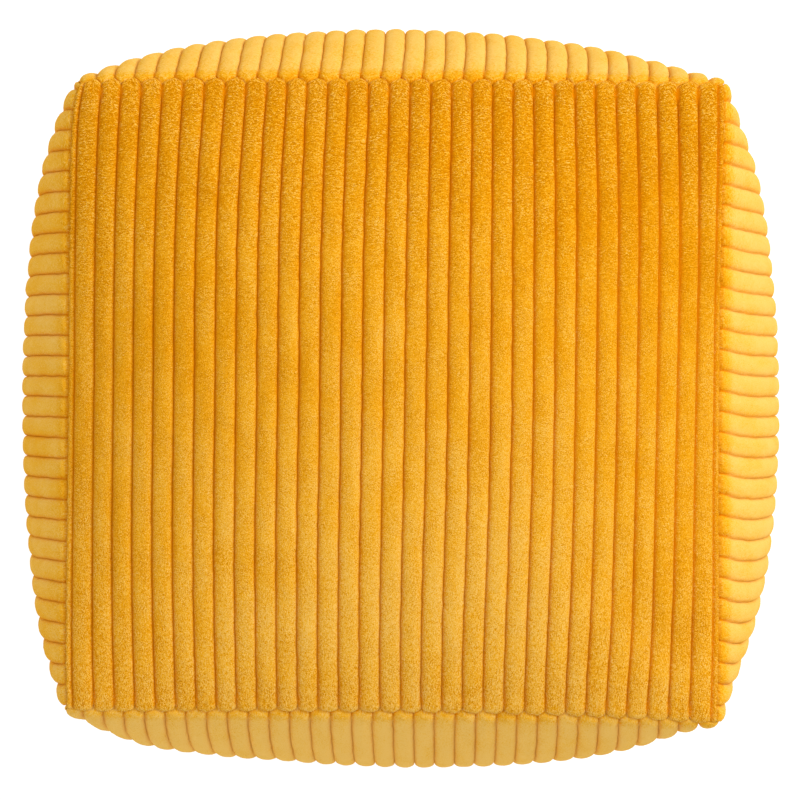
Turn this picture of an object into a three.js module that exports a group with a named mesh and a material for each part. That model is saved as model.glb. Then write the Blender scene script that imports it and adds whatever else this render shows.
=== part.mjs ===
// Cord footstool: a square pouf of wide-ribbed cord, sewn from a top panel, four side panels and a
// base panel, and filled until the top crowns and the sides swell between the upright seams.
// Millimetres, +Z up, +Y towards the back. The origin is the middle of the flat underside.

import * as THREE from 'three';

// The seams. The top one is the square outline of the seat, and the base one is drawn in under it
const topHalfX = 200;
const topHalfY = 192;
const topSeamHeight = 354;
const baseHalfX = 190;
const baseHalfY = 182;
const baseSeamHeight = 10;
const seamGap = 0.3;

// How the filling shapes the cloth between the seams
const topCrown = 43;
const crownFullness = 0.8;
const crownSpread = 0.035;
const cornerSwell = 7;
const widestShare = 0.45;
const swellRoundness = 2.1;
const evenRise = 2;
const quickRise = 6;
const seamSag = 2.5;
const seamSettle = 3;

// The cord: ribs of pile, with a groove between one and the next
const ribPitch = 12.6;
const ribRise = 3.2;
const ribSquareness = 3;
const grooveRise = 1.5;
const seamRoll = 8;
const topFirstGroove = 0.375;

// The base cloth rolls up from the floor to its seam in this width
const baseRoll = 19;

// Rows of points across the panels, closest together where the cloth rolls into a seam
const sideRows = [0, 0.03, 0.15, 0.33, 0.52, 0.71, 0.88, 0.98, 1];
const topRows = [-1, -0.97, -0.88, -0.68, -0.42, -0.14, 0.14, 0.42, 0.68, 0.88, 0.97, 1];
const ribColumns = [0, 0.25, 0.75];
const slimmestColumn = 0.1;

// Each side panel, by the way it faces. swell is how far its middle stands out from its seams, and
// roundness is how evenly that rises from the seams, against flat with quick ends. drawIn is how far
// the middle of its top seam is drawn in, and firstGroove is in ribs from its left seam, seen from
// outside
const front = new THREE.Vector3(0, -1, 0);
const right = new THREE.Vector3(1, 0, 0);
const back = new THREE.Vector3(0, 1, 0);
const left = new THREE.Vector3(-1, 0, 0);
const sidePanels = [
  { side: 'front', facing: front, swell: 43.3, roundness: 0.45, drawIn: 1.8, firstGroove: 0.87 },
  { side: 'right', facing: right, swell: 40.3, roundness: 0.5, drawIn: 3.4, firstGroove: 0.78 },
  { side: 'back', facing: back, swell: 42.3, roundness: 0.66, drawIn: -1, firstGroove: 0.68 },
  { side: 'left', facing: left, swell: 38, roundness: 0.55, drawIn: 0, firstGroove: 0.35 },
];

// The four corners of the top seam, and how far the sewing has pulled each from a true rectangle
const topCorners = [
  { x: -1, y: -1, pull: new THREE.Vector3(-3.1, 2.0, 0) },
  { x: 1, y: -1, pull: new THREE.Vector3(-1.1, -6.6, 0) },
  { x: 1, y: 1, pull: new THREE.Vector3(0.1, -3.6, 0) },
  { x: -1, y: 1, pull: new THREE.Vector3(0.9, -0.9, 0) },
];

const up = new THREE.Vector3(0, 0, 1);
const mix = THREE.MathUtils.lerp;

// 1 in the middle of a panel, 0 at its two seams
const slack = (place) => Math.max(0, 1 - place * place);

// How far a place in the top seam's square, with x and y from -1 to 1, is pulled out of true
function pullAt(x, y) {
  const pull = new THREE.Vector3();
  for (const corner of topCorners) {
    const share = ((1 + corner.x * x) * (1 + corner.y * y)) / 4;
    pull.addScaledVector(corner.pull, share);
  }
  for (const panel of sidePanels) {
    const along = panel.facing.x === 0 ? x : y;
    const share = (1 + panel.facing.x * x + panel.facing.y * y) / 2;
    pull.addScaledVector(panel.facing, -panel.drawIn * slack(along) * share);
  }
  return pull;
}

// The top panel without its ribs: x and y run from -1 to 1 between its seams
function topSurface(x, y) {
  const lift = (slack(x) * slack(y)) ** crownFullness;
  const spread = 1 + crownSpread * slack(x) * slack(y) ** (2 * crownFullness);
  const height = topSeamHeight - seamSag * (1 - x * x * y * y) + topCrown * lift;
  return new THREE.Vector3(x * spread * topHalfX, y * topHalfY, height).add(pullAt(x, y));
}

// How full a side is at a height, from 0 at its seams to 1 where it is widest
function fullness(height) {
  const reach = height < widestShare ? widestShare : 1 - widestShare;
  const away = Math.min(1, Math.abs(height - widestShare) / reach);
  return (1 - away ** swellRoundness) ** crownFullness;
}

// How much of its swell a side has at a place from -1 to 1 between its upright seams
function bulge(place, roundness) {
  return 1 - roundness * place ** evenRise - (1 - roundness) * place ** quickRise;
}

// A side panel without its ribs: place runs from -1 to 1 between the upright seams, and height from
// 0 at the base seam to 1 at the top one
function sideSurface(panel, place, height) {
  const along = up.clone().cross(panel.facing);
  const swollen = cornerSwell * fullness(height);
  const halfX = mix(baseHalfX, topHalfX, height) + swollen;
  const halfY = mix(baseHalfY, topHalfY, height) + swollen;
  const [width, depth] = panel.facing.x === 0 ? [halfX, halfY] : [halfY, halfX];
  const settled = height ** seamSettle;
  const out = depth + panel.swell * bulge(place, panel.roundness) * fullness(height);
  const point = along.clone().multiplyScalar(place * width).addScaledVector(panel.facing, out);
  const seat = along.clone().multiplyScalar(place).add(panel.facing);
  point.addScaledVector(pullAt(seat.x, seat.y), settled);
  point.z = mix(baseSeamHeight, topSeamHeight, height) - seamSag * slack(place) * settled;
  return point;
}

// The cord's height over the surface at a place counted in ribs from a groove
function cordRise(ribs) {
  const across = 2 * (ribs - Math.floor(ribs)) - 1;
  return grooveRise + ribRise * Math.sqrt(1 - Math.abs(across) ** ribSquareness);
}

// 0 on a seam and 1 where the cord has its full height
function rolledOver(distance) {
  return Math.sin((Math.PI / 2) * Math.min(1, distance / seamRoll));
}

// The cloth's outer face over a point of a surface
function raised(surface, x, y, rise) {
  const step = 0.001;
  const across = surface(x + step, y).sub(surface(x - step, y));
  const upward = surface(x, y + step).sub(surface(x, y - step));
  const outward = across.cross(upward).normalize();
  return surface(x, y).addScaledVector(outward, rise);
}

// Where the columns of points stand across a panel: on each groove and on each rib's two shoulders
function columnsOver(ribs, firstGroove) {
  const columns = [0];
  for (let rib = -1; rib < ribs; rib += 1) {
    for (const part of ribColumns) {
      const column = firstGroove + rib + part;
      if (column > slimmestColumn && column < ribs - slimmestColumn) columns.push(column);
    }
  }
  columns.push(ribs);
  return columns;
}

// A panel of cord as rows of points on its outer face
function cordFace(surface, rows, length, width, firstGroove) {
  const ribs = width / ribPitch;
  const columns = columnsOver(ribs, firstGroove);
  const [start, end] = [rows[0], rows[rows.length - 1]];
  return rows.map((row) => columns.map((column) => {
    const toEnd = (Math.min(row - start, end - row) / (end - start)) * length;
    const toSide = Math.min(column, ribs - column) * ribPitch;
    const rise = cordRise(column - firstGroove) * rolledOver(toEnd) * rolledOver(toSide);
    return raised(surface, (2 * column) / ribs - 1, row, rise);
  }));
}

// A closed solid: the panel's outer face, with the filling behind it carried in to a core line from
// low to high, which may be one point
function filledSolid(face, low, high = low) {
  const width = face[0].length;
  const last = face.length - 1;
  const end = width - 1;
  const at = (row, column) => row * width + column;
  const lowCore = face.length * width;
  const highCore = high === low ? lowCore : lowCore + 1;
  const triangles = [];
  for (let column = 0; column < end; column += 1) {
    for (let row = 0; row < last; row += 1) {
      triangles.push(at(row, column), at(row, column + 1), at(row + 1, column + 1));
      triangles.push(at(row, column), at(row + 1, column + 1), at(row + 1, column));
    }
    triangles.push(at(0, column), lowCore, at(0, column + 1));
    triangles.push(at(last, column), at(last, column + 1), highCore);
  }
  for (let row = 0; row < last; row += 1) {
    triangles.push(at(row, 0), at(row + 1, 0), lowCore);
    triangles.push(at(row, end), lowCore, at(row + 1, end));
  }
  if (highCore !== lowCore) {
    triangles.push(at(last, 0), highCore, lowCore);
    triangles.push(at(last, end), lowCore, highCore);
  }
  const points = [...face.flat(), low];
  if (highCore !== lowCore) points.push(high);
  const geometry = new THREE.BufferGeometry().setFromPoints(points);
  geometry.setIndex(triangles);
  geometry.computeVertexNormals();
  return geometry;
}

const baseCore = new THREE.Vector3(0, 0, baseSeamHeight);
const topCore = new THREE.Vector3(0, 0, topSeamHeight - seamSag);

function topPanel() {
  const face = cordFace(topSurface, topRows, 2 * topHalfY, 2 * topHalfX, topFirstGroove);
  return filledSolid(face, topCore);
}

function sidePanel(panel) {
  const surface = (place, height) => sideSurface(panel, place, height);
  const width = 2 * (panel.facing.x === 0 ? topHalfX : topHalfY);
  const length = topSeamHeight - baseSeamHeight;
  return filledSolid(cordFace(surface, sideRows, length, width, panel.firstGroove), baseCore, topCore);
}

// The base panel lies flat on the floor and rolls up to its seam all round
function basePanel() {
  const seamHeight = baseSeamHeight - seamGap;
  const stationsX = [-1, -1 + baseRoll / (2 * baseHalfX), -1 + baseRoll / baseHalfX, 0];
  const stationsY = [-1, -1 + baseRoll / (2 * baseHalfY), -1 + baseRoll / baseHalfY, 0];
  const bothWays = (stations) => [...stations, ...stations.slice(0, -1).reverse().map((s) => -s)];
  const rolled = (distance) => Math.max(0, 1 - distance / baseRoll) ** 2;
  const face = bothWays(stationsX).map((x) => bothWays(stationsY).map((y) => {
    const toSeam = Math.min((1 - Math.abs(x)) * baseHalfX, (1 - Math.abs(y)) * baseHalfY);
    return new THREE.Vector3(x * baseHalfX, y * baseHalfY, seamHeight * rolled(toSeam));
  }));
  return filledSolid(face, new THREE.Vector3(0, 0, seamHeight));
}

const cord = { color: '#dc9a1e', roughness: 0.85, metalness: 0 };
const baseCloth = { color: '#c88a22', roughness: 0.9, metalness: 0 };

function piece(name, geometry, look) {
  const mesh = new THREE.Mesh(geometry, new THREE.MeshStandardMaterial(look));
  mesh.name = name;
  return mesh;
}

const footstool = new THREE.Group();
footstool.add(piece('base_panel', basePanel(), baseCloth));

for (const panel of sidePanels) {
  const mesh = piece(`side_panel_${panel.side}`, sidePanel(panel), cord);
  mesh.position.copy(panel.facing).multiplyScalar(seamGap * Math.SQRT1_2);
  footstool.add(mesh);
}

const top = piece('top_panel', topPanel(), cord);
top.position.z = seamGap;
footstool.add(top);

export default footstool;
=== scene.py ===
# %% [markdown]
# # A cord footstool
#
# A square pouf in wide mustard cord, filled until its top crowns and its sides swell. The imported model
# gives the frame: where each panel of the real footstool is, and how large. Here each panel is made again
# as cloth, with every rib of the cord, the way the rib ends push into each other along the seams, and the
# plush pile.

import bmesh
import bpy
import numpy as np
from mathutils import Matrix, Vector


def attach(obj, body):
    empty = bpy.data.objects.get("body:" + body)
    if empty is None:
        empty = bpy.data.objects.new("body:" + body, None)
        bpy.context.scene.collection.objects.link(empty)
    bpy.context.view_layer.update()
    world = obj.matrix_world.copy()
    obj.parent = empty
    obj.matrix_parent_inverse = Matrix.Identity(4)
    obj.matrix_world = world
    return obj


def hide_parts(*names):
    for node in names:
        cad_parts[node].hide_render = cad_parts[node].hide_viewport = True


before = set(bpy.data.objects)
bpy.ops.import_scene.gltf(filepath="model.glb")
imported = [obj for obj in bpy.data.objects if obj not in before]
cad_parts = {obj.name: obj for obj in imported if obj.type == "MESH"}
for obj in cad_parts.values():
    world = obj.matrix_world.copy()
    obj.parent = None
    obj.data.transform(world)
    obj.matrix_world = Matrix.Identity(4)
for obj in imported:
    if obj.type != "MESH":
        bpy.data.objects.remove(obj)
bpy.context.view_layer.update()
print("frame nodes:", ", ".join(sorted(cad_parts)))

# %% [markdown]
# ## The camera
#
# The footstool is seen from straight above. A camera could be aimed by eye, but here the sizes are known:
# the picture is as wide at the height of the top seam as `view_width`, so the lens follows from that and
# from how high the camera hangs. A high camera with a long lens keeps the sides from spreading out.

# %% The camera
seam_height = 0.354
camera_above_seam = 2.2
view_width = 0.488
sensor_width = 36

camera_data = bpy.data.cameras.new("camera")
camera_data.sensor_width = sensor_width
camera_data.lens = sensor_width * camera_above_seam / view_width
camera = bpy.data.objects.new("camera", camera_data)
camera.location = (0.0013, -0.003, seam_height + camera_above_seam)
bpy.context.scene.collection.objects.link(camera)
bpy.context.scene.camera = camera
print(f"lens {camera_data.lens:.0f} mm, {camera.location.z:.2f} m over the floor")

# %% [markdown]
# ## The sizes
#
# A maker would know the footstool by a few measures: the square of the top seam, the slightly smaller
# square of the base seam, how far the filling pushes each panel out between its seams, and the cord
# itself. They could be measured on the frame's plain solids. They start from the same measures, in metres,
# less the few millimetres that the simulated filling adds later, and the unevenness of the real one, such
# as how each side swells and its ribs lean, was then adjusted until the view from above matched the photo.

# %% Measures of the filled form
seam_half = np.array([0.200, 0.192])
base_half = np.array([0.190, 0.182])
base_seam_height = 0.010
seam_gap = 0.0003

top_crown = 0.037
crown_fullness = 0.8
crown_spread = 0.035
widest_share = 0.45
swell_roundness = 2.1
seam_sag = 0.0025
seam_settle = 3
base_roll = 0.019

# %% Measures of the cord
rib_pitch = 0.0126
rib_rise = 0.0032
groove_rise = 0.0015
rib_squareness = 2.4
seam_roll = 0.0042
side_roll = 0.0060
top_first_groove = 0.375

# Each side: the way it faces, how far it swells, how evenly, how much more in its right half than in its
# left, and at its left and right ends, how far its top seam is drawn in, its first groove, in ribs from
# its left seam seen from outside, how far its ribs lean to the right of upright at its left and right
# ends, how far its rib ends push the top seam and how blunt they are, how pale its pile is painted at its
# top seam and below, a painted sheen that also makes some sides lighter than others, and which way its
# ribs are counted, which sets the shoulder of each rib that gets the painted shade
sides = {
    "front": dict(facing=(0, -1), swell=0.0420, roundness=0.45, skew=0.0087, ends=(0.0078, 0.0030),
                  drawn_in=0.0018, first_groove=0.807, lean=(-0.0016, 0.0004), end_push=0.0018,
                  blunt=3.5, pale=(0.21, 0.46), painted_rib_shading=1),
    "right": dict(facing=(1, 0), swell=0.0424, roundness=0.5, skew=-0.0025, ends=(0.0012, 0.0026),
                  drawn_in=0.0040, first_groove=0.725, lean=(-0.0082, -0.0034), end_push=0.0009,
                  blunt=2, pale=(0.06, 0.39), painted_rib_shading=1),
    "back": dict(facing=(0, 1), swell=0.0385, roundness=0.66, skew=0, ends=(0.0012, 0.0024),
                 drawn_in=-0.001, first_groove=0.73, lean=(-0.0024, -0.0031), end_push=0.0024,
                 blunt=2, pale=(0.05, 0.37), painted_rib_shading=-1),
    "left": dict(facing=(-1, 0), swell=0.0349, roundness=0.55, skew=0, ends=(0.0020, 0.0052),
                 drawn_in=0.0006, first_groove=0.32, lean=(0.0010, -0.0022), end_push=0.0010,
                 blunt=2, pale=(0.14, 0.25), painted_rib_shading=-1),
}

# The corners of the top seam: how far the sewing pulls each from a true rectangle, how far it is tucked
# in besides, and how close to the corner that stays, and how far the upright seam below it swells out
corners = {
    (-1, -1): dict(pull=(-0.0031, 0.0006), tuck=(0.0015, 0.0010), close=20, swell=(0.0050, 0.0068)),
    (1, -1): dict(pull=(-0.0011, -0.0030), tuck=(-0.0045, -0.0040), close=6, swell=(0.0040, 0.0022)),
    (1, 1): dict(pull=(0.0001, -0.0036), tuck=(-0.0020, 0.0005), close=20, swell=(0.0042, 0.0036)),
    (-1, 1): dict(pull=(0.0004, -0.0009), tuck=(0.0065, -0.0015), close=24, swell=(0.0056, 0.0062)),
}
ribs_along_x = 2 * seam_half[0] / rib_pitch
ribs_along_y = 2 * seam_half[1] / rib_pitch
print(f"{ribs_along_x:.2f} ribs across the top, {ribs_along_y:.2f} across the left and right sides")

# %% [markdown]
# ## The filled form
#
# The form under the ribs could be sculpted by hand. It is worked out instead, because a filled panel
# always swells in the same way: nothing at its seams and most in the middle. Each function takes whole
# arrays of places on a panel and gives the points there.


# %% Where the seams lie
def slack(place):
    return np.maximum(0, 1 - place * place)


def side_basis(side):
    """The way a side faces and the way its ribs are counted, as vectors."""
    facing = np.array([*side["facing"], 0.0])
    return facing, np.array([-facing[1], facing[0], 0.0])


def pull_at(x, y):
    """How far a place in the top seam's square, x and y from -1 to 1, is pulled out of true."""
    pull = np.zeros(np.shape(x) + (3,))
    for (corner_x, corner_y), corner in corners.items():
        share = (1 + corner_x * x) * (1 + corner_y * y) / 4
        pull[..., :2] += share[..., None] * corner["pull"]
        pull[..., :2] += (np.maximum(0, share) ** corner["close"])[..., None] * corner["tuck"]
    for side in sides.values():
        facing, _ = side_basis(side)
        along = x if facing[0] == 0 else y
        share = (1 + facing[0] * x + facing[1] * y) / 2
        pull -= (side["drawn_in"] * slack(along) * share)[..., None] * facing
    return pull


def swell_at(x, y):
    """How far the upright seams swell, spread over the square between them."""
    swell = np.zeros(np.shape(x) + (2,))
    for (corner_x, corner_y), corner in corners.items():
        share = (1 + corner_x * x) * (1 + corner_y * y) / 4
        swell += share[..., None] * corner["swell"]
    return swell


# %% The surfaces between the seams
def top_surface(x, y):
    """The top panel without its ribs: x and y run from -1 to 1 between its seams."""
    lift = (slack(x) * slack(y)) ** crown_fullness
    spread = 1 + crown_spread * slack(x) * slack(y) ** (2 * crown_fullness)
    height = seam_height - seam_sag * (1 - x * x * y * y) + top_crown * lift
    return np.stack([x * spread * seam_half[0], y * seam_half[1], height], -1) + pull_at(x, y)


def fullness(height):
    """How full a side is at a height, from 0 at its seams to 1 where it is widest."""
    reach = np.where(height < widest_share, widest_share, 1 - widest_share)
    away = np.minimum(1, np.abs(height - widest_share) / reach)
    return (1 - away**swell_roundness) ** crown_fullness


def held_window(place):
    """1 over most of a panel, and 0 at its two seams."""
    return 1 - place**6


hump_scale = 12.2


def hump(place):
    """A rise close to one end of a panel: 1 where it is highest, and 0 at the end itself."""
    return hump_scale * np.maximum(0, place) ** 8 * slack(place)


def side_surface(side, place, height):
    """A side panel without its ribs: place from -1 to 1 between the upright seams, height from 0 to 1."""
    facing, along = side_basis(side)
    axis = int(facing[0] == 0)
    seat = place[..., None] * along + facing
    full = fullness(height)
    half = base_half + (seam_half - base_half) * height[..., None]
    half = half + swell_at(seat[..., 0], seat[..., 1]) * full[..., None]
    bulge = 1 - side["roundness"] * place**2 - (1 - side["roundness"]) * place**6
    bulge = side["swell"] * bulge + side["skew"] * place * slack(place)
    bulge += side["ends"][0] * hump(-place) + side["ends"][1] * hump(place)
    out = half[..., axis] + bulge * full
    settled = height**seam_settle
    point = (place * half[..., 1 - axis])[..., None] * along + out[..., None] * facing
    point = point + pull_at(seat[..., 0], seat[..., 1]) * settled[..., None]
    point[..., 2] = base_seam_height + (seam_height - base_seam_height) * height
    point[..., 2] -= seam_sag * slack(place) * settled
    return point


middle = side_surface(sides["front"], np.zeros(1), np.full(1, widest_share))[0]
print(f"the front swells to {-middle[1] * 1000:.0f} mm from the middle, {middle[2] * 1000:.0f} mm up")

# %% [markdown]
# ## Filling the cover
#
# These surfaces are the cover before it is stuffed full, 3 to 4 mm short of its final size in the middle of
# each cord panel. The last of the filling is simulated. The six panels are sewn into one closed bag, coarse
# and without ribs, the seams are held, and the cloth solver presses the bag out from inside with gravity
# off. The panels stretch most where they are loosest. How far a point may travel is limited, and what it
# travelled is kept for each panel, to be added to its fine grid later.

# %% The panels of the bag
bag_cells = 32
pressure = 24
cloth_mass = 0.05
press_frames = 20
most_travel = 0.012


def bag_panels():
    """Each panel of the bag as a coarse grid of points, and the base last."""
    x, y = np.meshgrid(np.linspace(-1, 1, bag_cells + 1), np.linspace(-1, 1, bag_cells + 1))
    panels = {"top": top_surface(x, y)}
    for name, side in sides.items():
        panels[name] = side_surface(side, x, (y + 1) / 2)
    panels["base"] = np.stack([-x * base_half[0], y * base_half[1], 0 * x + base_seam_height], -1)
    return panels


def sewn_bag(panels):
    """One closed mesh of the panels. A point's number is its place in all of them, one after another."""
    bm = bmesh.new()
    number = bm.verts.layers.int.new("number")
    size = bag_cells + 1
    for order, points in enumerate(panels.values()):
        grid = bmesh.ops.create_grid(bm, x_segments=bag_cells, y_segments=bag_cells, size=1)
        for v in grid["verts"]:
            column = round((v.co.x + 1) / 2 * bag_cells)
            row = round((v.co.y + 1) / 2 * bag_cells)
            v[number] = (order * size + row) * size + column
            v.co = points[row, column].tolist()
    bmesh.ops.remove_doubles(bm, verts=bm.verts[:], dist=1e-5)
    mesh = bpy.data.meshes.new("bag")
    bm.to_mesh(mesh)
    bm.free()
    return mesh


# %% Pressing the bag out
def pressed_out(panels):
    """How far each point of each panel travels when the bag is filled."""
    size = bag_cells + 1
    travel = np.zeros((len(panels), size, size, 3))
    mesh = sewn_bag(panels)
    bag = bpy.data.objects.new("bag", mesh)
    bpy.context.scene.collection.objects.link(bag)
    held = np.ones((len(panels), size, size), bool)
    held[:-1, 1:-1, 1:-1] = False
    number = np.empty(len(mesh.vertices), np.int32)
    mesh.attributes["number"].data.foreach_get("value", number)
    seams = bag.vertex_groups.new(name="seams")
    seams.add([int(index) for index in np.flatnonzero(held.ravel()[number])], 1.0, "REPLACE")
    start = np.empty(len(mesh.vertices) * 3, np.float32)
    mesh.vertices.foreach_get("co", start)

    cloth = bag.modifiers.new("cloth", "CLOTH")
    cloth.settings.use_pressure = True
    cloth.settings.uniform_pressure_force = pressure
    cloth.settings.mass = cloth_mass
    cloth.settings.vertex_group_mass = "seams"
    cloth.settings.effector_weights.gravity = 0
    for tick in range(1, press_frames + 1):
        bpy.context.scene.frame_set(tick)
    filled = bag.evaluated_get(bpy.context.evaluated_depsgraph_get())
    end = np.empty(len(start), np.float32)
    filled.data.vertices.foreach_get("co", end)
    moved = (end - start).reshape(-1, 3).astype(float)
    length = np.linalg.norm(moved, axis=1, keepdims=True) + 1e-9
    mean, most = length.mean() * 1000, length.max() * 1000
    print(f"the filling presses the cover out by {mean:.1f} mm, at most {most:.1f}")
    travel.reshape(-1, 3)[number] = moved / length * most_travel * np.tanh(length / most_travel)
    bpy.data.objects.remove(bag)
    bpy.data.meshes.remove(mesh)
    bpy.context.scene.frame_set(1)
    return dict(zip(panels, travel))


travelled = pressed_out(bag_panels())
for name, travel in travelled.items():
    print(name, "travels", np.round(travel[bag_cells // 2, bag_cells // 2] * 1000, 1), "mm in its middle")


# %% Between the points of a coarse grid
def curve_shares(part):
    """The shares of four neighbours in a smooth curve, part of the way from the second to the third."""
    square, cube = part**2, part**3
    return [
        -cube / 2 + square - part / 2,
        cube * 3 / 2 - square * 5 / 2 + 1,
        -cube * 3 / 2 + square * 2 + part / 2,
        cube / 2 - square / 2,
    ]


def travel_at(name, across, upward):
    """How far a panel's point travels, at places from 0 to 1 across and up the panel."""
    grid = travelled[name]
    across, upward = np.clip(across, 0, 1) * bag_cells, np.clip(upward, 0, 1) * bag_cells
    column = np.minimum(across.astype(int), bag_cells - 1)
    row = np.minimum(upward.astype(int), bag_cells - 1)
    found = np.zeros(across.shape + (3,))
    for down, share_up in enumerate(curve_shares(upward - row), -1):
        for over, share_across in enumerate(curve_shares(across - column), -1):
            near_row, near_column = np.clip(row + down, 0, bag_cells), np.clip(column + over, 0, bag_cells)
            found += (share_up * share_across)[..., None] * grid[near_row, near_column]
    return found


# %% [markdown]
# ## The cord
#
# Wide cord is a cloth with thick ribs of pile. Each rib is a soft bar with round shoulders, pressed
# against the next, so that the groove is only a narrow line. It could be drawn as a bump, but the ribs
# are 12.6 mm apart and make the outline of the footstool, so they are real shape here.
#
# Where a panel ends, its ribs are cut and the pile splays into round ends. Two panels meet there, and
# as the ribs of one don't line up with the ribs of the other, the ends push between each other and the
# seam becomes a wavy line.


# %% Rows and columns of a panel's grid
rib_columns = [0, 0.05, 0.12, 0.22, 0.36, 0.5, 0.64, 0.78, 0.88, 0.95]
slimmest_column = 0.03
row_step = 0.0022
finest_step = 0.0004
step_growth = 1.25


def columns_over(ribs, first_groove):
    """Columns counted in ribs from a panel's left seam, closest together beside the grooves."""
    places = [first_groove + rib + part for rib in range(-1, int(ribs) + 1) for part in rib_columns]
    inside = [place for place in places if slimmest_column < place < ribs - slimmest_column]
    return np.array([0, *inside, ribs])


def rows_over(length):
    """Distances along the ribs from one end to the other, closest together at the ends."""
    steps = []
    step = finest_step
    while step < row_step:
        steps.append(step)
        step *= step_growth
    near = np.cumsum([0, *steps])
    count = int((length - 2 * near[-1]) / row_step)
    middle_rows = np.linspace(near[-1], length - near[-1], count + 1)
    return np.concatenate([near[:-1], middle_rows, length - near[-2::-1]])


columns, rows = columns_over(ribs_along_x, top_first_groove), rows_over(2 * seam_half[1])
print(f"{len(columns)} columns and {len(rows)} rows on top")


# %% Unevenness
rng = np.random.default_rng(12)


def unevenness(across, along, size_across, size_along):
    """A smooth random field over places in metres, about -1 to 1, with swells of the given sizes."""
    u, v = across / size_across, along / size_along
    lattice = rng.uniform(-1, 1, (int(u.max()) + 3, int(v.max()) + 3))
    column, row = u.astype(int), v.astype(int)
    part_u, part_v = u - column, v - row
    part_u = part_u * part_u * (3 - 2 * part_u)
    part_v = part_v * part_v * (3 - 2 * part_v)
    low = lattice[column, row] * (1 - part_u) + lattice[column + 1, row] * part_u
    high = lattice[column, row + 1] * (1 - part_u) + lattice[column + 1, row + 1] * part_u
    return low * (1 - part_v) + high * part_v


# %% The rib's shape
def rib_profile(ribs, squareness):
    """A rib's height, 0 in the grooves and 1 on its crest, at places counted in ribs from a groove."""
    across = 2 * (ribs - np.floor(ribs)) - 1
    return np.sqrt(1 - np.abs(across) ** squareness)


def ease(value):
    value = np.clip(value, 0, 1)
    return value * value * (3 - 2 * value)


# %% [markdown]
# ### Dents and wandering ribs
#
# A footstool that has been sat on isn't even. The top has a few soft hollows, and ribs that lean out of
# line beside them. They are listed, each with a place, a reach and a depth or a shift.

# %% Hollows and wandering ribs of the top, in metres
hollows = [
    dict(at=(0.159, -0.146), reach=0.020, depth=0.0035),
    dict(at=(0.128, -0.105), reach=0.030, depth=0.0020),
    dict(at=(-0.150, 0.150), reach=0.035, depth=0.0022),
    dict(at=(0.150, 0.145), reach=0.040, depth=0.0025),
    dict(at=(-0.178, 0.020), reach=0.030, depth=0.0015),
]
wanderings = [
    dict(at=(0.056, -0.180), reach=(0.130, 0.110), shift=-0.0028),
    dict(at=(0.170, -0.192), reach=(0.055, 0.040), shift=-0.0042),
    dict(at=(-0.080, -0.185), reach=(0.060, 0.050), shift=-0.0010),
    dict(at=(-0.139, 0.000), reach=(0.100, 0.090), shift=0.0032),
    dict(at=(-0.110, 0.190), reach=(0.050, 0.045), shift=0.0021),
    dict(at=(0.160, 0.113), reach=(0.050, 0.060), shift=0.0033),
    dict(at=(0.165, 0.020), reach=(0.040, 0.060), shift=0.0016),
    dict(at=(0.187, 0.070), reach=(0.020, 0.110), shift=0.0110),
    dict(at=(0.030, 0.168), reach=(0.090, 0.060), shift=0.0010),
]


def wander(x, y):
    """How far a place on the top, in metres, is shifted along x."""
    shift = np.zeros(np.shape(x))
    for row in wanderings:
        away = ((x - row["at"][0]) / row["reach"][0]) ** 2 + ((y - row["at"][1]) / row["reach"][1]) ** 2
        shift += row["shift"] * np.exp(-away)
    return shift


# %% [markdown]
# ### The wavy seam
#
# Along the top seam a rib of the top pushes outwards and a rib of the side pushes back in. The seam
# moves by the difference. Both panels ask the same function where the seam is, so that they meet.

# %% Where the rib ends push the seam
push_reach = 0.014
strip_reach = 0.006
push_down = 0.85
plain_bump = 0.55
rim_rise = 0.0006
upright_rise = 0.0022
upright_reach = 0.012
end_rise = 0.0016
corner_share = 0.08


def end_bump(ribs, blunt):
    across = 2 * (ribs - np.floor(ribs)) - 1
    return np.sqrt(1 - np.abs(across) ** blunt)


def end_bumps(side, place):
    """How far the ribs of the top and of a side reach towards their seam, from 0 in a groove to 1."""
    facing, along = side_basis(side)
    count = ribs_along_x if facing[0] == 0 else ribs_along_y
    side_bump = end_bump((place + 1) / 2 * count - side["first_groove"], side["blunt"])
    if facing[0] != 0:
        return plain_bump + 0 * place, side_bump
    x = place * along[0]
    x = x - wander(x * seam_half[0], facing[1] * seam_half[1] + 0 * x) * slack(x) / seam_half[0]
    return end_bump((x + 1) / 2 * ribs_along_x - top_first_groove, side["blunt"]), side_bump


def seam_push(side, place):
    """How far outwards the top seam is pushed at a place from -1 to 1 along a side."""
    top_bump, side_bump = end_bumps(side, place)
    return side["end_push"] * (top_bump - side_bump) * ease((1 - np.abs(place)) / corner_share)


def seam_lift(side, place):
    """How high the pile stands on the top seam: between two ends it is full, in a groove it isn't."""
    top_bump, side_bump = end_bumps(side, place)
    lift = end_rise * top_bump * side_bump * (1 if side["facing"][0] == 0 else 0.5)
    return rim_rise + (lift - rim_rise) * ease((1 - np.abs(place)) / corner_share)


corner_power = 11


def seam_normal(outward_x, outward_y, tilt):
    """The way the cloth faces on a seam: outwards, diagonally at a corner, and up or down by tilt."""
    x, y = (part * np.abs(part) ** corner_power for part in (outward_x, outward_y))
    normal = np.stack([x, y, tilt], -1)
    return normal / np.linalg.norm(normal, axis=-1, keepdims=True)


# %% From a smooth surface to cord
normal_reach = 0.010
rib_unevenness = 0.10
splay = 0.5
groove_splay = 0.9
tuft_rise = 0.00022


def grid_normals(points):
    """The way each point of a grid of points faces."""
    normal = np.cross(np.gradient(points, axis=1), np.gradient(points, axis=0))
    return normal / np.linalg.norm(normal, axis=-1, keepdims=True)


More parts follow.
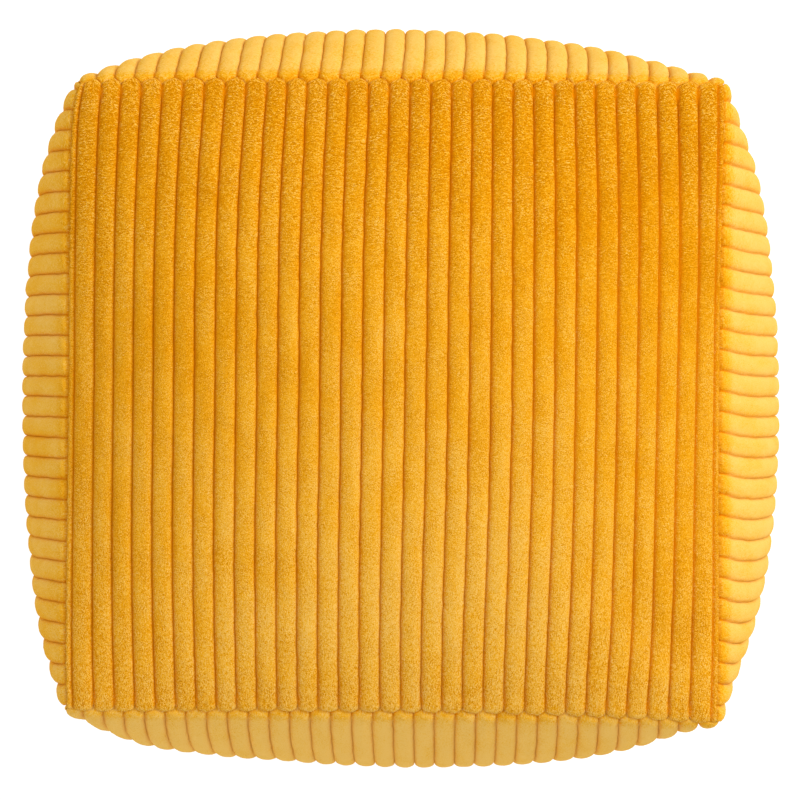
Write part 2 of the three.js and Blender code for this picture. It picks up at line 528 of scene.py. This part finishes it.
def corded(points, on_seam, on_rim, ribs, to_end, to_side, across, along, splayed):
    """Raises a grid of points to the outer face of the cord. on_seam is the way it faces at its seams,
    on_rim how high the pile stands there, and splayed how far a bend holds the ribs apart."""
    nearest = np.minimum(to_end, to_side)
    near_seam = ease(nearest / normal_reach)[..., None]
    facing = on_seam * (1 - near_seam) + grid_normals(points) * near_seam
    facing /= np.linalg.norm(facing, axis=-1, keepdims=True)
    profile = rib_profile(ribs, rib_squareness - splay * splayed)
    plump = 1 + rib_unevenness * unevenness(across, along, rib_pitch, 0.030) + splay * splayed
    tufts = tuft_rise * unevenness(across, along, 0.0032, 0.0022) * profile
    full = groove_rise * (1 - groove_splay * splayed) + rib_rise * profile * plump + tufts
    rolled = np.sqrt(1 - (1 - np.minimum(1, to_end / (seam_roll * (1 + splayed)))) ** 2)
    rolled *= np.sqrt(1 - (1 - np.minimum(1, to_side / side_roll)) ** 2)
    rise = on_rim + (full - on_rim) * rolled
    return points + rise[..., None] * facing


# %% The cord face of the top panel
seam_tilt = 1.1

# Broad patches of the top painted paler, above 0, or deeper: the pile's nap, with its sheen and the shade of
# the crown painted in; and the paler tips at the rib ends
nap_and_sheen_patches = [
    dict(at=(0.03, 0.20), reach=(0.30, 0.12), nap=-0.22),
    dict(at=(-0.17, 0.09), reach=(0.07, 0.12), nap=-0.05),
    dict(at=(0.175, 0.09), reach=(0.07, 0.15), nap=-0.11),
    dict(at=(0.02, -0.14), reach=(0.13, 0.08), nap=0.22),
    dict(at=(0.16, -0.13), reach=(0.05, 0.04), nap=-0.08),
]
tip_nap = 0.22
tip_length = 0.004
sway = 0.0003


def top_face():
    columns = columns_over(ribs_along_x, top_first_groove)
    rows = rows_over(2 * seam_half[1])
    ribs, along = np.meshgrid(columns, rows)
    across = ribs * rib_pitch
    x, y = 2 * ribs / ribs_along_x - 1, along / seam_half[1] - 1
    shift = wander(x * seam_half[0], y * seam_half[1]) + sway * unevenness(across, along, 0.009, 0.006)
    x = x + shift * slack(x) / seam_half[0]
    points = top_surface(x, y) + travel_at("top", (x + 1) / 2, (y + 1) / 2)
    for row in hollows:
        away = np.hypot(points[..., 0] - row["at"][0], points[..., 1] - row["at"][1]) / row["reach"]
        points[..., 2] -= row["depth"] * np.exp(-away * away)
    to_end, to_side = np.minimum(along, along.max() - along), np.minimum(across, across.max() - across)
    nearest = np.full(x.shape, np.inf)
    on_rim = np.zeros(x.shape)
    for side in sides.values():
        facing, counted = side_basis(side)
        place = np.clip(x * counted[0] + y * counted[1], -1, 1)
        distance = (1 - (x * facing[0] + y * facing[1])) * abs(seam_half @ facing[:2])
        reach = push_reach if facing[0] == 0 else strip_reach
        push = seam_push(side, place) * (1 - ease(distance / reach))
        points += push[..., None] * (facing + np.array([0, 0, -push_down]))
        on_rim = np.where(distance < nearest, seam_lift(side, place), on_rim)
        nearest = np.minimum(distance, nearest)
    on_seam = seam_normal(np.clip(x, -1, 1), np.clip(y, -1, 1), np.full(x.shape, seam_tilt))
    face = corded(points, on_seam, on_rim, ribs - top_first_groove, to_end, to_side, across, along, 0)
    nap = tip_nap * (1 - ease(to_end / tip_length))
    for row in nap_and_sheen_patches:
        away = (x * seam_half[0] - row["at"][0]) ** 2 / row["reach"][0] ** 2
        away += (y * seam_half[1] - row["at"][1]) ** 2 / row["reach"][1] ** 2
        nap += row["nap"] * np.exp(-away)
    return face, ribs - top_first_groove, along, np.minimum(to_end, to_side), nap


# %% The cord face of a side panel
tilt_reach = 0.015
lean_reach = 0.025
lean_starts = 0.2
deep_length = 0.010
splay_power = 5


def side_face(name):
    side = sides[name]
    facing, counted = side_basis(side)
    count = ribs_along_x if facing[0] == 0 else ribs_along_y
    columns = columns_over(count, side["first_groove"])
    rows = rows_over(seam_height - base_seam_height)
    ribs, along = np.meshgrid(columns, rows)
    across = ribs * rib_pitch
    place, height = 2 * ribs / count - 1, along / along.max()
    to_top, to_base = along.max() - along, along
    lean = side["lean"][0] * (1 - place) / 2 + side["lean"][1] * (1 + place) / 2
    lean = lean * (1 - np.exp(-to_top / lean_reach)) * ease(to_base / lean_starts)
    lean = lean + sway * unevenness(across, along, 0.009, 0.006)
    leaning = place + lean * held_window(place) / (count * rib_pitch / 2)
    points = side_surface(side, leaning, height) + travel_at(name, (leaning + 1) / 2, height)
    push = seam_push(side, place) * (1 - ease(to_top / push_reach))
    points += push[..., None] * (facing + np.array([0, 0, -push_down]))
    tilt = seam_tilt * np.exp(-to_top / tilt_reach) - np.exp(-to_base / tilt_reach)
    corner = place[..., None] * counted + facing
    on_seam = seam_normal(corner[..., 0], corner[..., 1], tilt)
    to_end, to_side = np.minimum(to_top, to_base), np.minimum(across, across.max() - across)
    at_top = (to_top < np.minimum(to_base, to_side)) | (to_top < 1e-9)
    upright = rim_rise + (upright_rise - rim_rise) * ease(to_end / upright_reach) * (to_side < to_end)
    on_rim = np.where(at_top, seam_lift(side, place), upright)
    counted_ribs = ribs - side["first_groove"]
    splayed = np.abs(place) ** splay_power
    face = corded(points, on_seam, on_rim, counted_ribs, to_end, to_side, across, along, splayed)
    face += facing * seam_gap * np.sqrt(0.5)
    # Painted sheen: the pile is painted deep at the top seam and pale below, and each side's values also
    # paint it lighter or darker than the others
    deep, pale = side["pale"]
    nap = deep + (pale - deep) * ease(to_top / deep_length)
    # The way the ribs are counted sets which shoulder of each rib gets the painted shade and which the
    # painted highlight
    counted_ribs = side["painted_rib_shading"] * counted_ribs
    return face, counted_ribs, along, np.minimum(to_end, to_side), nap


# %% [markdown]
# ## From a grid to a closed panel
#
# bmesh makes the grid, the points are moved to the cord's face, and then the panel's rim is turned in
# at the seam and carried to the middle of the footstool, so that each panel is a closed form with the
# filling behind it. The turned-in faces never show.

# %% A closed, filled piece from a face
allowance = 0.04
core_low = Vector((0, 0, base_seam_height))
core_high = Vector((0, 0, seam_height - seam_sag))


def perimeter(row, column, rows, columns):
    """Where a rim point lies round the rim, from 0 to 1."""
    round_it = np.where(
        row == 0,
        column / (columns - 1),
        np.where(
            column == columns - 1,
            1 + row / (rows - 1),
            np.where(row == rows - 1, 3 - column / (columns - 1), 4 - row / (rows - 1)),
        ),
    )
    return round_it / 4


def filled_piece(name, face, ribs, along, to_seam, nap, loose, low, high):
    """A mesh object of a grid of points, closed behind by its filling."""
    rows, columns = face.shape[:2]
    bm = bmesh.new()
    bmesh.ops.create_grid(bm, x_segments=columns - 1, y_segments=rows - 1, size=1)
    mesh = bpy.data.meshes.new(name)
    bm.to_mesh(mesh)
    bm.free()
    flat = np.empty(len(mesh.vertices) * 3, np.float32)
    mesh.vertices.foreach_get("co", flat)
    column = np.rint((flat[0::3] + 1) / 2 * (columns - 1)).astype(int)
    row = np.rint((flat[1::3] + 1) / 2 * (rows - 1)).astype(int)
    mesh.vertices.foreach_set("co", face[row, column].astype(np.float32).ravel())
    rim = perimeter(row, column, rows, columns)
    labelled = {"ribs": ribs, "along": along, "to_seam": to_seam, "nap": nap, "loose": loose + 0 * ribs}
    labelled = {label: values[row, column] for label, values in labelled.items()}
    for label, values in {**labelled, "rim": rim}.items():
        attribute = mesh.attributes.new(label, "FLOAT", "POINT")
        attribute.data.foreach_set("value", values.astype(np.float32))
    shown = len(mesh.polygons)

    bm = bmesh.new()
    bm.from_mesh(mesh)
    edges = [edge for edge in bm.edges if edge.is_boundary]
    made = bmesh.ops.extrude_edge_only(bm, edges=edges)["geom"]
    turned = [v for v in made if isinstance(v, bmesh.types.BMVert)]
    bmesh.ops.scale(bm, vec=(1 - allowance, 1 - allowance, 1), verts=turned)
    edges = [edge for edge in bm.edges if edge.is_boundary]
    made = bmesh.ops.extrude_edge_only(bm, edges=edges)["geom"]
    inner = [v for v in made if isinstance(v, bmesh.types.BMVert)]
    label = bm.verts.layers.float["along"]
    if high == low:
        bmesh.ops.pointmerge(bm, verts=inner, merge_co=low)
    else:
        upper = [v for v in inner if v[label] > along.max() - 1e-6]
        lower = [v for v in inner if v[label] <= along.max() - 1e-6]
        bmesh.ops.pointmerge(bm, verts=upper, merge_co=high)
        bmesh.ops.pointmerge(bm, verts=lower, merge_co=low)
    bm.to_mesh(mesh)
    bm.free()
    return finished(mesh, name, shown, ribs, along)


def values_of(mesh, label):
    found = np.empty(len(mesh.vertices), np.float32)
    mesh.attributes[label].data.foreach_get("value", found)
    return found


def finished(mesh, name, shown, ribs, along):
    """Gives a closed mesh its maps and smooth faces, and makes it an object."""
    vertex = np.empty(len(mesh.loops), np.int32)
    mesh.loops.foreach_get("vertex_index", vertex)
    start = np.empty(len(mesh.polygons), np.int32)
    mesh.polygons.foreach_get("loop_start", start)
    hidden_from = start[shown]
    across_at, along_at, rim_at = (values_of(mesh, label)[vertex] for label in ("ribs", "along", "rim"))
    cord_map = np.stack([across_at, along_at / rib_pitch], -1)
    mesh.uv_layers.new(name="cord").data.foreach_set("uv", cord_map.astype(np.float32).ravel())
    share_across = (across_at - ribs.min()) / np.ptp(ribs) * 0.99 + 0.005
    share_along = along_at / along.max() * 0.93 + 0.005
    share = np.stack([share_across, share_along], -1)
    place = np.empty(len(mesh.vertices) * 3, np.float32)
    mesh.vertices.foreach_get("co", place)
    place = place.reshape(-1, 3)[vertex[hidden_from:]]
    depth = np.hypot(place[:, 0], place[:, 1]) / 0.3
    share[hidden_from:, 0] = rim_at[hidden_from:] * 0.98 + 0.01
    share[hidden_from:, 1] = 0.995 - 0.04 * np.clip(depth, 0, 1)
    mesh.uv_layers.new(name="OFBake").data.foreach_set("uv", share.astype(np.float32).ravel())
    smooth = np.zeros(len(mesh.polygons), bool)
    smooth[:shown] = True
    mesh.polygons.foreach_set("use_smooth", smooth)
    mesh.update()
    piece = bpy.data.objects.new(name, mesh)
    bpy.context.scene.collection.objects.link(piece)
    print(f"{name}: {len(mesh.polygons)} faces")
    return piece


# %% [markdown]
# ## The panels
#
# Six panels: the top, four sides, and a plain base that only shows when the footstool is turned over.

# %% The top panel
face, ribs, along, to_seam, nap = top_face()
face[..., 2] += seam_gap
top_core = core_high + Vector((0, 0, seam_gap))
pieces = {"top_panel": filled_piece("cord_top", face, ribs, along, to_seam, nap, 1.0, top_core, top_core)}

# %% The side panels
for name, side in sides.items():
    face, ribs, along, to_seam, nap = side_face(name)
    shift = Vector((*side["facing"], 0)) * float(seam_gap * np.sqrt(0.5))
    pieces[f"side_panel_{name}"] = filled_piece(
        f"cord_{name}", face, ribs, along, to_seam, nap, 0.5, core_low + shift, core_high + shift
    )

# %% The base panel
base_step = 0.004
base_rim_reach = 0.006


def base_face():
    """The base lies flat on the floor and rolls up to its seam all round."""
    counts = [int(2 * half / base_step) for half in base_half]
    x, y = np.meshgrid(np.linspace(1, -1, counts[0] + 1), np.linspace(-1, 1, counts[1] + 1))
    to_seam = np.minimum((1 - np.abs(x)) * base_half[0], (1 - np.abs(y)) * base_half[1])
    rolled = np.maximum(0, 1 - to_seam / base_roll) ** 2
    height = (base_seam_height - seam_gap) * rolled
    points = np.stack([x * base_half[0], y * base_half[1], height], -1)
    on_seam = seam_normal(x, y, np.full(x.shape, -1.0))
    points += (rim_rise * (1 - ease(to_seam / base_rim_reach)))[..., None] * on_seam
    return points, (1 - x) * base_half[0] / rib_pitch, (y + 1) * base_half[1], to_seam, 0 * x


face, ribs, along, to_seam, nap = base_face()
base_core = core_low - Vector((0, 0, seam_gap))
pieces["base_panel"] = filled_piece("plain_base", face, ribs, along, to_seam, nap, 0.0, base_core, base_core)

# %% [markdown]
# ## Shader maths in Python
#
# A material is a tree of nodes. Written out link by link it can't be read, so a small class wraps a
# socket: `1 - mask * 2` adds the Math nodes for it. Every other node comes from one method, `node`.


# %% A socket that can be calculated with
class Value:
    """An output socket. Arithmetic on it adds Math nodes to its tree."""

    def __init__(self, tree, socket):
        self.tree = tree
        self.socket = socket

    def node(self, kind, settings=(), inputs=(), output=0):
        """Adds a node. Its settings are set first, then its sockets get values or links."""
        made = self.tree.nodes.new(kind)
        for name, setting in dict(settings).items():
            if name == "stops":
                while len(made.color_ramp.elements) < len(setting):
                    made.color_ramp.elements.new(0.5)
                for element, (position, colour) in zip(made.color_ramp.elements, setting):
                    element.position = position
                    element.color = (*colour, 1)
            else:
                setattr(made, name, setting)
        for key, given in dict(inputs).items():
            if isinstance(given, Value):
                self.tree.links.new(given.socket, made.inputs[key])
            else:
                made.inputs[key].default_value = given
        return None if output is None else Value(self.tree, made.outputs[output])

    def maths(self, operation, *others, first=None):
        values = [self if first is None else first, *others]
        return self.node("ShaderNodeMath", {"operation": operation}, dict(enumerate(values)))

    def __add__(self, other):
        return self.maths("ADD", other)

    __radd__ = __add__

    def __sub__(self, other):
        return self.maths("SUBTRACT", other)

    def __rsub__(self, other):
        return self.maths("SUBTRACT", self, first=other)

    def __mul__(self, other):
        return self.maths("MULTIPLY", other)

    __rmul__ = __mul__

    def eased(self, low, high):
        """0 below low, 1 above high, and an eased rise between."""
        return self.node(
            "ShaderNodeMapRange",
            {"interpolation_type": "SMOOTHSTEP"},
            {"Value": self, "From Min": low, "From Max": high},
        )

    def stretched(self, x, y, z=1.0):
        """A vector with each part multiplied."""
        return self.node(
            "ShaderNodeVectorMath", {"operation": "MULTIPLY"}, {0: self, 1: (x, y, z)}
        )

    def noise(self, scale=1.0, detail=2.0, distortion=0.0):
        """Noise at this vector."""
        sockets = {"Vector": self, "Scale": scale, "Detail": detail, "Distortion": distortion}
        return self.node("ShaderNodeTexNoise", {}, sockets)

    def between(self, low, high):
        """A colour between two colours, by this value."""
        settings = {"data_type": "RGBA"}
        low, high = (c if isinstance(c, Value) else (*c, 1) for c in (low, high))
        return self.node("ShaderNodeMix", settings, {"Factor": self, "A": low, "B": high}, 2)


def new_material(name):
    material = bpy.data.materials.new(name)
    material.use_nodes = True
    material.node_tree.nodes.clear()
    return material, Value(material.node_tree, None)


# %% [markdown]
# ## The pile
#
# Plush pile is short fibre that stands up and leans together in small clumps. Seen from the side of the
# fibres it is pale and soft, seen into the tips it is deep and rich. The colour changes with the clumps and
# in random patches, and light and shade are painted into it: painted shade in the grooves and on each
# rib's left shoulder, a painted highlight on its right shoulder, and a painted sheen where the pile is seen
# from the side, which also paints some sides lighter than others. Broad patches of the top follow the
# pile's nap, with painted sheen and shade.

# %% Colours of the pile
pile_stops = [
    (0.05, (0.62, 0.200, 0.0005)),
    (0.35, (0.77, 0.285, 0.001)),
    (0.55, (0.87, 0.380, 0.006)),
    (0.78, (0.90, 0.470, 0.036)),
    (1.00, (0.93, 0.565, 0.135)),
]
# Painted shade: the colour that the grooves are painted towards
groove_shade_colour = (0.80, 0.230, 0.0003)


def cord_material():
    material, start = new_material("plush_cord")
    cord_map = start.node("ShaderNodeUVMap", {"uv_map": "cord"})
    object_place = start.node("ShaderNodeTexCoord", {}, {}, "Object")
    ribs = cord_map.node("ShaderNodeSeparateXYZ", {}, {0: cord_map}, "X")
    to_back = object_place.node("ShaderNodeSeparateXYZ", {}, {0: object_place}, "Y")
    to_seam = start.node("ShaderNodeAttribute", {"attribute_name": "to_seam"}, {}, "Fac")
    nap = start.node("ShaderNodeAttribute", {"attribute_name": "nap"}, {}, "Fac")
    loose = start.node("ShaderNodeAttribute", {"attribute_name": "loose"}, {}, "Fac")

    across_strokes = cord_map.stretched(6.6, 19.0).noise(1.0, 1.0, 1.2)
    along_strokes = cord_map.stretched(19.0, 6.6).noise(1.0, 1.0, 0.8)
    curls = cord_map.stretched(14.5, 15.5).noise(1.0, 1.0, 2.2)
    fibres = cord_map.stretched(26.0, 26.0).noise(1.0, 0.0, 0.6)
    tufted = object_place.noise(75.0, 1.0, 0.3).eased(0.35, 0.65)
    patches = cord_map.stretched(1.1, 0.35).noise(1.0, 2.0, 0.3)
    brushed = object_place.noise(14.0, 1.0, 0.2)
    near_seam = 1 - to_seam.eased(0.002, 0.030)
    backward = to_back.eased(-0.02, 0.19)
    forward = 1 - to_back.eased(-0.20, 0.0)

    clumps = (across_strokes - 0.5) * (backward * 2.2 + 0.3) + (along_strokes - 0.5) * (forward * 1.3 + 0.2)
    clumps = clumps + (curls - 0.5) * (1.9 - backward * 0.8) + (fibres - 0.5) * 1.1
    strength = (tufted * 0.3 + 0.92 + near_seam * 0.2) * loose
    clumps = clumps * strength
    fringed = ribs + (curls - 0.5) * 0.22
    across = fringed.maths("FRACT")
    # Painted light and shade across each rib: lighter towards its right shoulder, darker towards its left
    painted_rib_shading = (across - 0.5) * 0.08
    # Painted sheen and painted light come in with the pile's nap from the panels; clumps and patches are the
    # pile's own tone
    tone = clumps * 0.86 + (patches - 0.5) * 0.42 + (brushed - 0.5) * 0.25 + painted_rib_shading + nap + 0.56
    pile = tone.node("ShaderNodeValToRGB", {"stops": pile_stops}, {"Fac": tone})
    # Painted shade: the grooves and the left shoulder of each rib are coloured darker, on top of the real
    # shade of the ribs' shape
    shoulder_shade = (1 - across.eased(0.0, 0.24)) * 0.38 + (1 - across.eased(0.0, 0.08)) * 0.62
    groove_shade = (shoulder_shade + across.eased(0.94, 1.0)) * (1.0 - nap * 1.3)
    colour = groove_shade.between(pile, groove_shade_colour)
    bump = start.node("ShaderNodeBump", {}, {"Height": clumps, "Distance": 0.0010, "Strength": 0.5})
    sockets = {
        "Base Color": colour,
        "Normal": bump,
        "Roughness": 0.95,
        "Specular IOR Level": 0.0,
        "Sheen Weight": 0.06,
        "Sheen Roughness": 0.4,
        "Sheen Tint": (1.0, 0.60, 0.12, 1),
    }
    shader = start.node("ShaderNodeBsdfPrincipled", {}, sockets)
    start.node("ShaderNodeOutputMaterial", {}, {"Surface": shader}, None)
    return material


cord = cord_material()

# %% The base cloth
base_colour = (0.54, 0.215, 0.012)


def base_material():
    material, start = new_material("base_cloth")
    weave_map = start.node("ShaderNodeUVMap", {"uv_map": "cord"})
    weave = weave_map.stretched(16.0, 16.0).noise(1.0, 2.0, 0.0)
    threads = weave.node(
        "ShaderNodeTexWave", {"bands_direction": "X"}, {"Vector": weave_map, "Scale": 6.0}, "Fac"
    )
    crossed = weave.node(
        "ShaderNodeTexWave", {"bands_direction": "Y"}, {"Vector": weave_map, "Scale": 6.0}, "Fac"
    )
    height = threads * crossed + weave * 0.4
    colour = height.between((0.44, 0.165, 0.008), base_colour)
    bump = start.node("ShaderNodeBump", {}, {"Height": height, "Distance": 0.0004, "Strength": 0.5})
    sockets = {"Base Color": colour, "Normal": bump, "Roughness": 0.9}
    shader = start.node("ShaderNodeBsdfPrincipled", {}, sockets)
    start.node("ShaderNodeOutputMaterial", {}, {"Surface": shader}, None)
    return material


base_cloth = base_material()

# %% [markdown]
# ## Fitting the panels to the frame
#
# Each panel rides on the footstool's one body and stands for its plain solid.

# %% Fitting
for node, piece in pieces.items():
    plain = node == "base_panel"
    piece.data.materials.append(base_cloth if plain else cord)
    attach(piece, "root")
    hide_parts(node)

# %% [markdown]
# ## The studio
#
# The photo's background is white without a shadow. A white floor lit until it looks like that would throw
# so much light back up that the sides go flat, so this floor is grey and glows instead. The light that
# shapes the ribs is a large panel to the right and a little behind, so each rib is lighter on its right
# shoulder. A weaker one hangs over the top, and the rest is a bright room.

# %% Floor
bm = bmesh.new()
bmesh.ops.create_grid(bm, x_segments=1, y_segments=1, size=4)
floor_mesh = bpy.data.meshes.new("floor")
bm.to_mesh(floor_mesh)
bm.free()
floor = bpy.data.objects.new("floor", floor_mesh)
bpy.context.scene.collection.objects.link(floor)
floor_material, start = new_material("pale_floor")
shader = start.node(
    "ShaderNodeBsdfPrincipled",
    {},
    {
        "Base Color": (0.3, 0.3, 0.3, 1),
        "Roughness": 0.9,
        "Emission Color": (1, 1, 1, 1),
        "Emission Strength": 0.86,
    },
)
start.node("ShaderNodeOutputMaterial", {}, {"Surface": shader}, None)
floor_mesh.materials.append(floor_material)

# %% Lights
def soft_light(name, place, size, power, aim=(0, 0, 0.2)):
    """A square panel of light that faces aim."""
    data = bpy.data.lights.new(name, "AREA")
    data.size = size
    data.energy = power
    light = bpy.data.objects.new(name, data)
    light.location = place
    light.rotation_euler = (Vector(aim) - Vector(place)).to_track_quat("-Z", "Y").to_euler()
    bpy.context.scene.collection.objects.link(light)
    return light


soft_light("key", (1.8, 1.1, 2.0), 1.2, 43)
soft_light("ceiling", (0.2, 0.3, 3.2), 1.5, 11)

world = bpy.data.worlds.new("room")
world.use_nodes = True
world.node_tree.nodes["Background"].inputs["Color"].default_value = (1, 1, 1, 1)
world.node_tree.nodes["Background"].inputs["Strength"].default_value = 0.72
bpy.context.scene.world = world
bpy.context.scene.view_settings.view_transform = "Standard"
